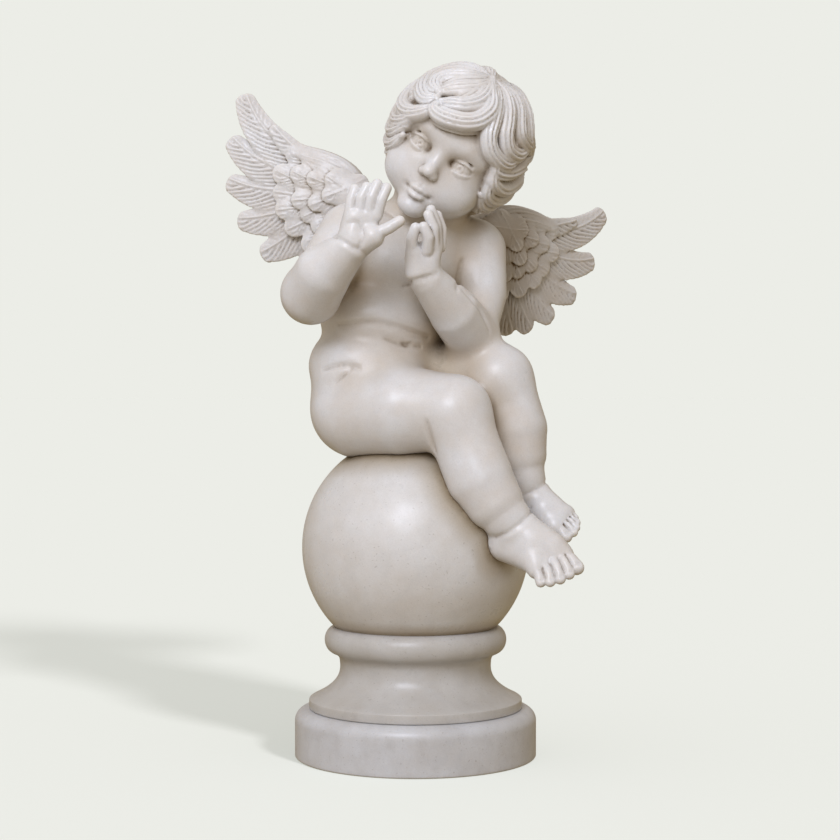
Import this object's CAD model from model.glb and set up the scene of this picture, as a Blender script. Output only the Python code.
"""Dresses the stone cherub: a carved figure on a ball, a turned socle and a round plinth.

The figure is carved on a grid of distances, in millimetres, from the same named masses as the
solids, with the finer work that a chisel leaves: strands of hair, barbs, eyelids, nails, creases.
"""

from __future__ import annotations

import logging
import math
from dataclasses import dataclass, field
from enum import Enum

import bpy
import numpy as np
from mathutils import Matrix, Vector


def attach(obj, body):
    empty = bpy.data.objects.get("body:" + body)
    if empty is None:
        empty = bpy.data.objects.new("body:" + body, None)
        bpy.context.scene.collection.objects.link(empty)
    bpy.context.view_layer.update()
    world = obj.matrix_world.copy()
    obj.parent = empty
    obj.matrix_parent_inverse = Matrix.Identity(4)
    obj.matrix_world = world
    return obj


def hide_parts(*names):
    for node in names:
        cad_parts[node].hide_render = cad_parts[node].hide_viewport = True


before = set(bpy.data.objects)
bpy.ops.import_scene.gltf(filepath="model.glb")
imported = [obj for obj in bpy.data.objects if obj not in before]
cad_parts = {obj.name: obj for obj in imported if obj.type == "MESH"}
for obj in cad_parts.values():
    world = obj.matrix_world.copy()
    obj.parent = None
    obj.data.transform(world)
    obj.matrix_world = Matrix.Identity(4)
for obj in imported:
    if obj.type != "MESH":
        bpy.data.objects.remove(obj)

LOG = logging.getLogger("cherub")
MM = 0.001
FAR = 40.0  # the distance, in mm, that stands for well away from the stone
Point = tuple[float, float, float]
Ball = tuple[float, float, float, float]
Pair = tuple[float, float]


# ---- Small geometry helpers ---------------------------------------------------------------------


def turn_about(axis: int, angle: float) -> np.ndarray:
    """Returns the matrix that turns by an angle in degrees about axis 0, 1 or 2.

    Args:
        axis: The number of the axis: 0, 1 or 2 for x, y or z.
        angle: The angle in degrees.

    Returns:
        The matrix, which acts on columns.
    """
    c, s = math.cos(math.radians(angle)), math.sin(math.radians(angle))
    i, j = (axis + 1) % 3, (axis + 2) % 3
    made = np.eye(3)
    made[i, i], made[i, j], made[j, i], made[j, j] = c, -s, s, c
    return made


def unit(vectors: np.ndarray) -> np.ndarray:
    """Returns vectors scaled to length one along their last axis."""
    return vectors / np.maximum(np.linalg.norm(vectors, axis=-1, keepdims=True), 1e-9)


def lerp(a: float, b: float, share: float) -> float:
    """Returns the value that lies a share of the way from a to b."""
    return a + (b - a) * share


def smooth_path(points: np.ndarray, steps: int) -> np.ndarray:
    """Draws a smooth curve through points.

    Args:
        points: Corner points, one per row.
        steps: How many pieces each stretch between two corners gets.

    Returns:
        The curve's points, one per row.
    """
    points = np.asarray(points, float)
    first, last = 2 * points[0] - points[1], 2 * points[-1] - points[-2]
    padded = np.vstack([first, points, last])
    rows = []
    for i in range(len(points) - 1):
        a, b, c, d = padded[i : i + 4]
        for t in np.linspace(0, 1, steps, endpoint=False):
            square = (2 * a - 5 * b + 4 * c - d) * t**2
            cube = (3 * b - a - 3 * c + d) * t**3
            rows.append(0.5 * (2 * b + (c - a) * t + square + cube))
    rows.append(points[-1])
    return np.array(rows)


def mirrored(half: tuple[Ball, ...]) -> list[Ball]:
    """Returns balls from one side to the middle, then their mirror images out to the other side."""
    return [*half, *((-x, y, z, radius) for x, y, z, radius in half[-2::-1])]


def soft_min(a: np.ndarray, b: np.ndarray, blend: float) -> np.ndarray:
    """Returns the smaller of two distances, with their meeting rounded over a width of blend."""
    overlap = np.maximum(blend - np.abs(a - b), 0)
    return np.minimum(a, b) - overlap * overlap / (4 * max(blend, 1e-6))


# ---- Shapes that the clay takes -----------------------------------------------------------------


class Shape:
    """A shape with a box round it and a distance from its surface, negative inside."""

    low: np.ndarray
    high: np.ndarray

    def distance(self, x: np.ndarray, y: np.ndarray, z: np.ndarray) -> np.ndarray:
        """Returns the distance at the points of three broadcast coordinate arrays."""
        raise NotImplementedError

    def bound(self, points: np.ndarray, reach: float) -> None:
        """Sets the box round points, grown by reach."""
        points = np.asarray(points, float).reshape(-1, 3)
        self.low, self.high = points.min(0) - reach, points.max(0) + reach


class Limb(Shape):
    """A round limb through balls, each x, y, z and radius."""

    def __init__(self, *balls: Ball) -> None:
        """Takes the balls in order along the limb.

        Args:
            balls: Each ball's x, y, z and radius, in mm.
        """
        rows = np.array(balls, float)
        self.centres, self.radii = rows[:, :3], rows[:, 3]
        self.bound(self.centres, float(self.radii.max()))

    def distance(self, x: np.ndarray, y: np.ndarray, z: np.ndarray) -> np.ndarray:
        """Returns the distance to the nearest stretch of the limb.

        Args:
            x: How far across each point lies, in mm.
            y: How far back each point lies, in mm.
            z: How high each point lies, in mm.

        Returns:
            One distance for each point, in mm.
        """
        nearest = None
        for a, b, ra, rb in zip(self.centres, self.centres[1:], self.radii, self.radii[1:]):
            d = b - a
            t = np.clip(
                ((x - a[0]) * d[0] + (y - a[1]) * d[1] + (z - a[2]) * d[2]) / max(d @ d, 1e-9), 0, 1
            )
            across, back, up = x - a[0] - t * d[0], y - a[1] - t * d[1], z - a[2] - t * d[2]
            gap = np.sqrt(across**2 + back**2 + up**2)
            made = gap - (ra + (rb - ra) * t)
            nearest = made if nearest is None else np.minimum(nearest, made)
        return nearest


class Egg(Shape):
    """An ellipsoid with its own axes turned by a matrix."""

    def __init__(self, centre: Point, radii: Point, turn: np.ndarray | None = None) -> None:
        """Takes the centre, the three radii and the turn of its axes.

        Args:
            centre: The middle, in mm.
            radii: The three half-sizes, in mm.
            turn: The matrix that turns its axes, or none.
        """
        self.centre, self.radii = np.asarray(centre, float), np.asarray(radii, float)
        self.turn = np.eye(3) if turn is None else turn
        reach = np.sqrt(((self.turn * self.radii) ** 2).sum(1))
        self.low, self.high = self.centre - reach, self.centre + reach

    def distance(self, x: np.ndarray, y: np.ndarray, z: np.ndarray) -> np.ndarray:
        """Returns a close estimate of the distance to the ellipsoid.

        Args:
            x: How far across each point lies, in mm.
            y: How far back each point lies, in mm.
            z: How high each point lies, in mm.

        Returns:
            One distance for each point, in mm.
        """
        near, slope = 0.0, 0.0
        for axis, radius in enumerate(self.radii):
            c = self.turn[:, axis]
            local = (x - self.centre[0]) * c[0] + (y - self.centre[1]) * c[1] + (z - self.centre[2]) * c[2]
            near = near + (local / radius) ** 2
            slope = slope + (local / radius**2) ** 2
        near, slope = np.sqrt(near), np.sqrt(slope)
        return near * (near - 1) / np.maximum(slope, 1e-6)


class Lid(Shape):
    """The part of a ball on one side of a plane through its centre, for an eyelid's shell."""

    def __init__(self, centre: Point, radius: float, normal: np.ndarray) -> None:
        """Takes the ball, and the plane's normal, which points to the side that is kept."""
        self.centre, self.radius, self.normal = np.asarray(centre, float), radius, normal
        self.bound(self.centre, radius)

    def distance(self, x: np.ndarray, y: np.ndarray, z: np.ndarray) -> np.ndarray:
        """Returns the distance to the shell.

        Args:
            x: How far across each point lies, in mm.
            y: How far back each point lies, in mm.
            z: How high each point lies, in mm.

        Returns:
            One distance for each point, in mm.
        """
        dx, dy, dz = x - self.centre[0], y - self.centre[1], z - self.centre[2]
        n = self.normal
        past_plane = -(dx * n[0] + dy * n[1] + dz * n[2])
        return np.maximum(np.sqrt(dx * dx + dy * dy + dz * dz) - self.radius, past_plane)


class Ring(Shape):
    """A torus about an axis, for the crease round a limb."""

    def __init__(self, centre: Point, axis: Point, radius: float, tube: float) -> None:
        """Takes the ring's centre, its axis, its radius and its tube's radius.

        Args:
            centre: The middle, in mm.
            axis: The direction that the ring goes round.
            radius: From the centre to the middle of the tube.
            tube: The tube's own radius.
        """
        self.centre, self.axis = np.asarray(centre, float), unit(np.asarray(axis, float))
        self.radius, self.tube = radius, tube
        self.bound(self.centre, radius + tube)

    def distance(self, x: np.ndarray, y: np.ndarray, z: np.ndarray) -> np.ndarray:
        """Returns the distance to the torus.

        Args:
            x: How far across each point lies, in mm.
            y: How far back each point lies, in mm.
            z: How high each point lies, in mm.

        Returns:
            One distance for each point, in mm.
        """
        dx, dy, dz = x - self.centre[0], y - self.centre[1], z - self.centre[2]
        along = dx * self.axis[0] + dy * self.axis[1] + dz * self.axis[2]
        out = np.sqrt(np.maximum(dx * dx + dy * dy + dz * dz - along * along, 0))
        return np.sqrt((out - self.radius) ** 2 + along**2) - self.tube


class Blade(Shape):
    """A lens-shaped blade along a spine: half its breadth is width, half its thickness is height."""

    def __init__(
        self,
        at: np.ndarray,
        side: np.ndarray,
        out: np.ndarray,
        width: np.ndarray,
        height: np.ndarray,
        tip: float,
    ) -> None:
        """Takes one row or value for each station of the spine.

        Args:
            at: The stations' places.
            side: The direction of the breadth at each station.
            out: The direction of the thickness at each station.
            width: Half the breadth at each station.
            height: Half the thickness at each station.
            tip: The length of the rounded ends.
        """
        self.at, self.side, self.out = at, side, out
        self.width, self.height, self.tip = width, height, tip
        self.length = np.concatenate([[0], np.cumsum(np.linalg.norm(np.diff(at, axis=0), axis=1))])
        self.bound(at, float((width + height).max()))

    def relief(self, across: np.ndarray, along: np.ndarray, width: np.ndarray) -> np.ndarray | float:
        """Returns how deep the carving on the blade's faces is, in mm."""
        return 0.0

    def distance(self, x: np.ndarray, y: np.ndarray, z: np.ndarray) -> np.ndarray:
        """Returns a close estimate of the distance to the blade.

        Args:
            x: How far across each point lies, in mm.
            y: How far back each point lies, in mm.
            z: How high each point lies, in mm.

        Returns:
            One distance for each point, in mm.
        """
        shape = np.broadcast(x, y, z).shape
        best = np.full(shape, np.inf, np.float32)
        found = np.zeros(shape, np.int32)
        share = np.zeros(shape, np.float32)
        lines = (x.ravel(), y.ravel(), z.ravel())
        for i in range(len(self.at) - 1):
            a, d = self.at[i], self.at[i + 1] - self.at[i]
            reach = max(self.width[i : i + 2].max(), self.height[i : i + 2].max()) + 9
            low, high = np.minimum(a, a + d) - reach, np.maximum(a, a + d) + reach
            part = tuple(slice(*np.searchsorted(line, (b, c))) for line, b, c in zip(lines, low, high))
            ox, oy, oz = x[part[0]] - a[0], y[:, part[1]] - a[1], z[:, :, part[2]] - a[2]
            t = np.clip((ox * d[0] + oy * d[1] + oz * d[2]) / (d @ d), 0, 1)
            gap = (ox - t * d[0]) ** 2 + (oy - t * d[1]) ** 2 + (oz - t * d[2]) ** 2
            closer = gap < best[part]
            best[part][closer], found[part][closer], share[part][closer] = gap[closer], i, t[closer]
        near = np.nonzero(best < np.inf)
        p = np.stack([line[i] for line, i in zip(lines, near)], -1)
        made = np.full(shape, FAR, np.float32)
        made[near] = self.section(p, found[near], share[near])
        return made

    def section(self, p: np.ndarray, found: np.ndarray, share: np.ndarray) -> np.ndarray:
        """Returns the distances of points whose nearest stretch of the spine is known.

        Args:
            p: The points, one per row.
            found: The number of each point's nearest stretch.
            share: How far along that stretch its nearest place is, 0 to 1.

        Returns:
            One distance for each point, in mm.
        """
        t = share[:, None]

        def between(rows: np.ndarray) -> np.ndarray:
            """Returns a station's values at each point's nearest place on the spine."""
            return rows[found] * (1 - t) + rows[found + 1] * t

        offset = p - between(self.at)
        side, out = unit(between(self.side)), unit(between(self.out))
        width, height = between(self.width[:, None])[:, 0], between(self.height[:, None])[:, 0]
        across, above = np.einsum("ij,ij->i", offset, side), np.einsum("ij,ij->i", offset, out)
        beyond = np.sqrt(np.maximum(np.einsum("ij,ij->i", offset, offset) - across**2 - above**2, 0))
        along = between(self.length[:, None])[:, 0]
        height = np.maximum(height - self.relief(across, along, width), 0.4)
        near = np.sqrt((across / width) ** 2 + (above / height) ** 2 + (beyond / self.tip) ** 2)
        return (near - 1) * np.minimum(width, height)


class FeatherBlade(Blade):
    """A blade with slanting barbs to both sides of a quill that lies nearer the leading edge."""

    barb_spacing = 9.6
    barb_depth = 2.1
    quill = 1.5
    bias = 0.3

    def relief(self, across: np.ndarray, along: np.ndarray, width: np.ndarray) -> np.ndarray:
        """Returns the depth of the barbs' grooves and of the channels beside the quill.

        Args:
            across: How far to the side of the spine each point lies.
            along: How far along the spine it lies.
            width: Half the breadth there.

        Returns:
            One depth for each point, in mm.
        """
        from_quill = across - self.bias * width
        off = np.abs(from_quill)
        wander = 2.2 * np.sin(along / 15.0 + 2 * np.sign(from_quill)) + 0.8 * np.sin(along / 5.3)
        phase = (along - 1.25 * off - 0.022 * off**2 + wander) / self.barb_spacing + 0.4 * (from_quill > 0)
        saw = phase - np.floor(phase)
        groove = self.barb_depth * ((0.5 + 0.5 * np.cos(2 * math.pi * saw)) ** 1.6 + 0.25 * (1 - saw))
        fade = np.clip((off - self.quill) / (0.25 * width), 0, 1) * np.where(from_quill > 0, 0.55, 1.0)
        channel = 1.0 * np.exp(-(((off - self.quill - 0.7) / 1.1) ** 2))
        raised = -0.9 * np.clip(1 - (off / self.quill) ** 2, 0, 1)
        return groove * fade + channel + raised


# ---- The clay grid and its skin -----------------------------------------------------------------


@dataclass
class Clay:
    """A grid of distances, finer where the carving is finer."""

    x: np.ndarray = field(init=False)
    y: np.ndarray = field(init=False)
    z: np.ndarray = field(init=False)
    distances: np.ndarray = field(init=False)

    def __post_init__(self) -> None:
        """Lays out the grid lines: the feet, the smooth body and the carved upper part."""
        self.x = self.lines((-246, -40, 1.45), (-40, 140, 1.2), (140, 262, 1.45))
        self.y = self.lines((-184, -110, 1.5), (-110, 90, 1.25), (90, 178, 1.5))
        self.z = self.lines((196, 300, 1.5), (300, 560, 2.2), (560, 816, 1.2))
        self.distances = np.full((len(self.x), len(self.y), len(self.z)), FAR, np.float32)

    def lines(self, *stretches: tuple[float, float, float]) -> np.ndarray:
        """Returns grid lines through stretches of (from, to, step)."""
        rows = [np.arange(a, b, step) for a, b, step in stretches]
        return np.concatenate(rows).astype(np.float32)

    def window(self, shape: Shape, margin: float) -> tuple[slice, slice, slice]:
        """Returns the slices of the grid that lie near a shape.

        Args:
            shape: The shape.
            margin: How far round the shape's box the window reaches.

        Returns:
            One slice for each axis.
        """
        cut = []
        for axis, lines in enumerate((self.x, self.y, self.z)):
            a = int(np.searchsorted(lines, shape.low[axis] - margin))
            b = int(np.searchsorted(lines, shape.high[axis] + margin, side="right"))
            cut.append(slice(max(a - 1, 0), min(b + 1, len(lines))))
        return tuple(cut)

    def measure(self, shape: Shape, where: tuple[slice, slice, slice]) -> np.ndarray:
        """Measures a shape on a part of the grid.

        Args:
            shape: The shape.
            where: The window's slices.

        Returns:
            One distance for each grid point of the window.
        """
        sx, sy, sz = where
        made = shape.distance(self.x[sx, None, None], self.y[None, sy, None], self.z[None, None, sz])
        return made.astype(np.float32)

    def add(self, shape: Shape, blend: float = 6) -> None:
        """Joins a shape to the clay, rounding the meeting over blend mm."""
        where = self.window(shape, blend + 6)
        self.distances[where] = soft_min(self.distances[where], self.measure(shape, where), blend)

    def cut(self, shape: Shape, blend: float = 4) -> None:
        """Takes a shape out of the clay, rounding the edge over blend mm."""
        where = self.window(shape, blend + 6)
        self.distances[where] = -soft_min(-self.distances[where], self.measure(shape, where), blend)

    def sample(self, points: np.ndarray, values: np.ndarray | None = None) -> np.ndarray:
        """Reads the grid at points by linear interpolation.

        Args:
            points: Places in mm, one per row.
            values: Another array on the same grid, or none for the distances.

        Returns:
            One value for each point.
        """
        values = self.distances if values is None else values
        low, part = [], []
        for axis, lines in enumerate((self.x, self.y, self.z)):
            i = np.clip(np.searchsorted(lines, points[:, axis]) - 1, 0, len(lines) - 2)
            low.append(i)
            part.append(np.clip((points[:, axis] - lines[i]) / (lines[i + 1] - lines[i]), 0, 1))
        total = np.zeros(len(points))
        for corner in range(8):
            bits = [(corner >> axis) & 1 for axis in range(3)]
            weight = np.prod([p if bit else 1 - p for p, bit in zip(part, bits)], axis=0)
            total += weight * values[tuple(i + bit for i, bit in zip(low, bits))]
        return total

    def front(self, x: float, z: float, start: float = -180.0) -> float:
        """Returns the y at which a line from the front meets the clay at (x, z).

        Args:
            x: How far across the line lies.
            z: How high the line lies.
            start: Where the line starts, in y.

        Returns:
            The place in y, or 0 where the line meets none.
        """
        ys = np.arange(start, 120, 0.5)
        values = self.sample(np.stack([np.full_like(ys, x), ys, np.full_like(ys, z)], -1))
        hits = np.nonzero(values < 0)[0]
        return float(ys[hits[0]]) if len(hits) else 0.0

    def crease(
        self, path: list[Pair], radius: float = 1.6, blend: float = 4, start: float = -180.0
    ) -> None:
        """Carves a crease along a path of (x, z) points on the side seen from the front.

        Args:
            path: The corners of the path.
            radius: The groove's radius in mm, which fades to nothing at both ends.
            blend: How far its edges are rounded.
            start: Where the line that looks for the clay starts, in y.
        """
        line = smooth_path(np.array(path), 8)
        balls = []
        for i, (x, z) in enumerate(line):
            fade = math.sin(math.pi * (0.06 + 0.88 * i / (len(line) - 1)))
            balls.append((x, self.front(x, z, start) - radius * 0.2, z, radius * fade**0.6))
        self.cut(Limb(*balls), blend)

    def fullness(self, radius: float) -> np.ndarray:
        """Returns how much of a cube of half-side radius round each grid point is stone, 0 to 1.

        Args:
            radius: Half the cube's side, in mm.

        Returns:
            One share for each grid point.
        """
        made = (self.distances < 0).astype(np.float32)
        for axis, lines in enumerate((self.x, self.y, self.z)):
            made = np.moveaxis(made, axis, -1)
            steps = np.diff(lines)
            whole = np.zeros_like(made)
            np.cumsum(0.5 * (made[..., 1:] + made[..., :-1]) * steps, axis=-1, out=whole[..., 1:])
            sides = []
            for shift in (radius, -radius):
                place = np.clip(lines + shift, lines[0], lines[-1])
                i = np.clip(np.searchsorted(lines, place) - 1, 0, len(lines) - 2)
                part = ((place - lines[i]) / steps[i]).astype(np.float32)
                sides.append(whole[..., i] * (1 - part) + whole[..., i + 1] * part)
            made = np.moveaxis((sides[0] - sides[1]) / (2 * radius), -1, axis)
        return made

    def mend_pinches(self) -> None:
        """Fills points where the clay touches only across a diagonal, so that the skin stays one sheet."""
        for _ in range(3):
            inside = self.distances < 0
            changed = 0
            for axis in range(3):
                u, v = axis, (axis + 1) % 3
                a = np.moveaxis(inside, (u, v), (0, 1))
                first = a[:-1, :-1] & a[1:, 1:] & ~a[1:, :-1] & ~a[:-1, 1:]
                second = ~a[:-1, :-1] & ~a[1:, 1:] & a[1:, :-1] & a[:-1, 1:]
                f = np.moveaxis(self.distances, (u, v), (0, 1))
                f[1:, :-1][first] = -0.03
                f[:-1, :-1][second] = -0.03
                changed += int(first.sum() + second.sum())
            if not changed:
                return

    def skin(self) -> tuple[np.ndarray, np.ndarray]:
        """Returns the corners, in mm, and the quads of the surface where the distance is zero.

        Returns:
            The corners, one per row, and the quads, four corner numbers per row.
        """
        self.mend_pinches()
        f = self.distances
        inside = f < 0
        count = np.zeros(tuple(n - 1 for n in f.shape), np.uint8)
        bits = [(c & 1, (c >> 1) & 1, (c >> 2) & 1) for c in range(8)]

        def at_corner(values: np.ndarray, bit: tuple[int, int, int]) -> np.ndarray:
            """Returns the values at one corner of every cell."""
            return values[tuple(slice(b, n - 1 + b) for b, n in zip(bit, values.shape))]

        for bit in bits:
            count += at_corner(inside, bit)
        cells = np.argwhere((count > 0) & (count < 8))
        corners = np.stack([f[tuple((cells + np.array(bit)).T)] for bit in bits], 1)
        total = np.zeros((len(cells), 3))
        crossings = np.zeros(len(cells))
        for a in range(8):
            for bit in (1, 2, 4):
                if a & bit:
                    continue
                fa, fb = corners[:, a], corners[:, a | bit]
                crossed = (fa < 0) != (fb < 0)
                t = np.where(crossed, fa / np.where(crossed, fa - fb, 1), 0)
                start, step = np.array(bits[a]), np.array(bits[a | bit]) - np.array(bits[a])
                total += crossed[:, None] * (start + t[:, None] * step)
                crossings += crossed
        place = total / crossings[:, None]
        points = np.empty((len(cells), 3))
        for axis, lines in enumerate((self.x, self.y, self.z)):
            i = cells[:, axis]
            points[:, axis] = lines[i] + place[:, axis] * (lines[i + 1] - lines[i])
        vertex = np.full(count.shape, -1, np.int32)
        vertex[tuple(cells.T)] = np.arange(len(cells))
        quads = []
        for axis in range(3):
            u, v = (axis + 1) % 3, (axis + 2) % 3
            step = [0, 0, 0]
            step[axis] = 1
            ahead = inside[tuple(slice(s, None) for s in step)]
            here = inside[tuple(slice(None, n - s) for n, s in zip(inside.shape, step))]
            edges = np.argwhere(here != ahead)
            inner = (edges[:, [u, v]] > 0) & (edges[:, [u, v]] < (count.shape[u], count.shape[v]))
            edges = edges[inner.all(1)]
            ring = []
            for du, dv in ((1, 1), (0, 1), (0, 0), (1, 0)):
                at = edges.copy()
                at[:, u] -= du
                at[:, v] -= dv
                ring.append(vertex[tuple(at.T)])
            ring = np.stack(ring, 1)
            flip = ~inside[tuple(edges.T)]
            ring[flip] = ring[flip][:, ::-1]
            quads.append(ring)
        return largest_piece(points, np.concatenate(quads))


def largest_piece(points: np.ndarray, quads: np.ndarray) -> tuple[np.ndarray, np.ndarray]:
    """Returns only the largest connected piece of a skin.

    Args:
        points: The corners, one per row.
        quads: Four corner numbers per row.

    Returns:
        The corners and the quads that are kept.
    """
    label = np.arange(len(points))
    pairs = np.concatenate([quads[:, [0, 1]], quads[:, [1, 2]], quads[:, [2, 3]]])
    while True:
        roots = label[pairs]
        apart = roots[:, 0] != roots[:, 1]
        if not apart.any():
            break
        pairs, roots = pairs[apart], roots[apart]
        np.minimum.at(label, roots.max(1), roots.min(1))
        while (label != label[label]).any():
            label = label[label]
    names, sizes = np.unique(label[quads[:, 0]], return_counts=True)
    keep = label == names[sizes.argmax()]
    quads = quads[keep[quads[:, 0]]]
    index = np.cumsum(keep) - 1
    return points[keep], index[quads]


# ---- The figure's masses ------------------------------------------------------------------------


class Side(Enum):
    """The figure's own sides; the value is the sign of x."""

    RIGHT = -1
    LEFT = 1


@dataclass(frozen=True)
class Trunk:
    """Hips, belly, chest, shoulders and neck."""

    eggs: tuple[tuple[Point, Point, float, float], ...] = (
        ((-52, 14, 406), (68, 68, 62), 50, 6),
        ((-48, -2, 452), (79, 68, 56), 38, 14),
        ((-34, -2, 508), (80, 63, 50), 30, 12),
        ((-14, 2, 566), (74, 54, 46), 28, 18),
    )
    shoulders: tuple[Ball, ...] = ((-62, -18, 602, 30), (0, 4, 610, 40), (60, 28, 592, 32))
    neck: tuple[Ball, ...] = ((6, 6, 612, 40), (30, -6, 660, 37))

    def press(self, clay: Clay) -> None:
        """Adds the trunk to the clay.

        Args:
            clay: The clay that is worked on.
        """
        for centre, radii, turn, blend in self.eggs:
            clay.add(Egg(centre, radii, turn_about(2, turn)), blend)
        clay.add(Limb(*self.shoulders), 24)
        clay.add(Limb(*self.neck), 18)

    def carve(self, clay: Clay) -> None:
        """Cuts the folds of the belly, the navel, the collar bones and the spine's hollow.

        Args:
            clay: The clay that is worked on.
        """
        clay.crease([(-88, 497), (-71, 498), (-45, 500), (-18, 494), (14, 484)], 2.6, 7)
        clay.crease([(-34, 482), (-15, 476), (6, 474)], 1.6, 5)
        clay.crease([(-104, 447), (-84, 452), (-64, 450)], 2.2, 5)
        clay.crease([(-90, 432), (-80, 441), (-72, 448)], 1.6, 4)
        clay.crease([(-15, 477), (-11, 475), (-6, 477)], 1.8, 4)
        clay.crease([(-34, 628), (-14, 616), (2, 612)], 1.3, 8)
        clay.crease([(54, 574), (50, 556), (46, 536)], 2.0, 5)
        spine = [
            (10, 61, 600, 3), (-12, 62, 560, 4), (-30, 66, 510, 4.5), (-40, 74, 470, 4), (-48, 82, 440, 3)
        ]
        clay.cut(Limb(*spine), 16)
        cleft = [(-48, 86, 436, 3), (-54, 88, 410, 5), (-58, 84, 380, 5), (-60, 74, 356, 4)]
        clay.cut(Limb(*cleft), 12)
        for x, y in ((-72, 76), (-22, 84)):
            clay.cut(Egg((x, y, 456), (5, 4, 5)), 7)


@dataclass(frozen=True)
class Arm:
    """An upper arm and a forearm."""

    upper: tuple[Ball, ...]
    fore: tuple[Ball, ...]

    def press(self, clay: Clay) -> None:
        """Adds the arm to the clay."""
        clay.add(Limb(*self.upper), 16)
        clay.add(Limb(*self.fore), 8)


@dataclass(frozen=True)
class Leg:
    """A thigh, a calf and the ankle that joins the foot."""

    thigh: tuple[Ball, ...]
    calf: tuple[Ball, ...]
    ankle: tuple[Ball, ...]

    def press(self, clay: Clay) -> None:
        """Adds the leg to the clay.

        Args:
            clay: The clay that is worked on.
        """
        clay.add(Limb(*self.thigh), 18)
        clay.add(Limb(*self.calf), 12)
        clay.add(Limb(*self.ankle), 5)


@dataclass(frozen=True)
class Foot:
    """A plump foot: a heel, a ball, and five toes that each run from a root to a tip."""

    heel: Ball
    middle: Ball
    toes: tuple[tuple[Point, Point, float], ...]
    edges: tuple[tuple[Ball, ...], ...] = ()

    def press(self, clay: Clay) -> None:
        """Adds the foot to the clay.

        Args:
            clay: The clay that is worked on.
        """
        middle, first, last = self.middle, self.toes[0][0], self.toes[-1][0]
        clay.add(Limb(self.heel, middle), 6)
        clay.add(Limb((*first, 11), middle), 6)
        clay.add(Limb((*last, 7), middle), 6)
        clay.add(Limb((*first, 10), (*last, 6.5)), 6)
        for strip in self.edges:
            clay.add(Limb(*strip), 10)
        for root, tip, radius in self.toes:
            bend = tuple(lerp(a, b, 0.5) + lift for a, b, lift in zip(root, tip, (0, -1.2, 2.2)))
            clay.add(Limb((*root, 0.94 * radius), (*bend, 0.9 * radius), (*tip, 0.93 * radius)), 1.0)
            self.press_nail(clay, np.array(root, float), np.array(tip, float), radius)
        for (root, tip, radius), (root2, tip2, radius2) in zip(self.toes, self.toes[1:]):
            rise = np.array([0, -0.6, 0.8]) * 0.46 * (radius + radius2)
            start, end = ((np.array(a) + np.array(b)) / 2 + rise for a, b in ((root, root2), (tip, tip2)))
            clay.cut(Limb((*lerp(start, end, 0.25), 0.7), (*end, 0.22 * radius2)), 2.6)

    def press_nail(self, clay: Clay, root: np.ndarray, tip: np.ndarray, radius: float) -> None:
        """Flattens the top of a toe into a nail.

        Args:
            clay: The clay that is worked on.
            root: Where the toe starts.
            tip: Where the toe ends.
            radius: The toe's radius.
        """
        along = unit(tip - root)
        side = unit(np.cross(along, [0, -0.6, 0.8]))
        up = np.cross(side, along)
        axes = np.stack([side, along, up], 1)
        middle = tip + along * radius * 0.34 + up * radius * 0.98
        clay.cut(Egg(tuple(middle), (radius * 0.6, radius * 0.62, radius * 0.26), axes), 0.3)


@dataclass(frozen=True)
class Hand:
    """A small hand: the masses of its palm, and fingers that each bend once."""

    palm: tuple[Point, Point, float]
    pads: tuple[tuple[Ball, Ball], ...]
    fingers: tuple[tuple[float, tuple[Point, ...]], ...]

    def press(self, clay: Clay) -> None:
        """Adds the hand to the clay.

        Args:
            clay: The clay that is worked on.
        """
        centre, radii, turn = self.palm
        clay.add(Egg(centre, radii, turn_about(2, turn)), 6)
        for a, b in self.pads:
            clay.add(Limb(a, b), 6)
        for radius, points in self.fingers:
            balls = [(*p, (radius + 0.5) * (1 - 0.07 * i)) for i, p in enumerate(points)]
            clay.add(Limb(*balls), 1.4)


# ---- The head, its face and its hair ------------------------------------------------------------


class LockBlade(Blade):
    """A lock of hair, with rounded strands and sharp valleys that run along it."""

    strand = 5.1
    depth = 3.0
    phase = 0.0

    def relief(self, across: np.ndarray, along: np.ndarray, width: np.ndarray) -> np.ndarray:
        """Returns the depth below the strands' crests.

        Args:
            across: How far to the side of the spine each point lies.
            along: How far along the spine it lies.
            width: Half the breadth there.

        Returns:
            One depth for each point, in mm.
        """
        count = np.maximum(np.round(2 * width.max() / self.strand), 2)
        u = count * (across / width + 1) / 2 + 0.12 * np.sin(along / 11 + self.phase)
        crest = np.sqrt(np.sin(math.pi * u) ** 2 + 0.02)
        fine = 0.07 * (0.5 - 0.5 * np.cos(2 * math.pi * (2 * u + 0.3 * np.sin(along / 17 + self.phase))))
        return self.depth * (1.01 - crest) + self.depth * fine


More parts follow.
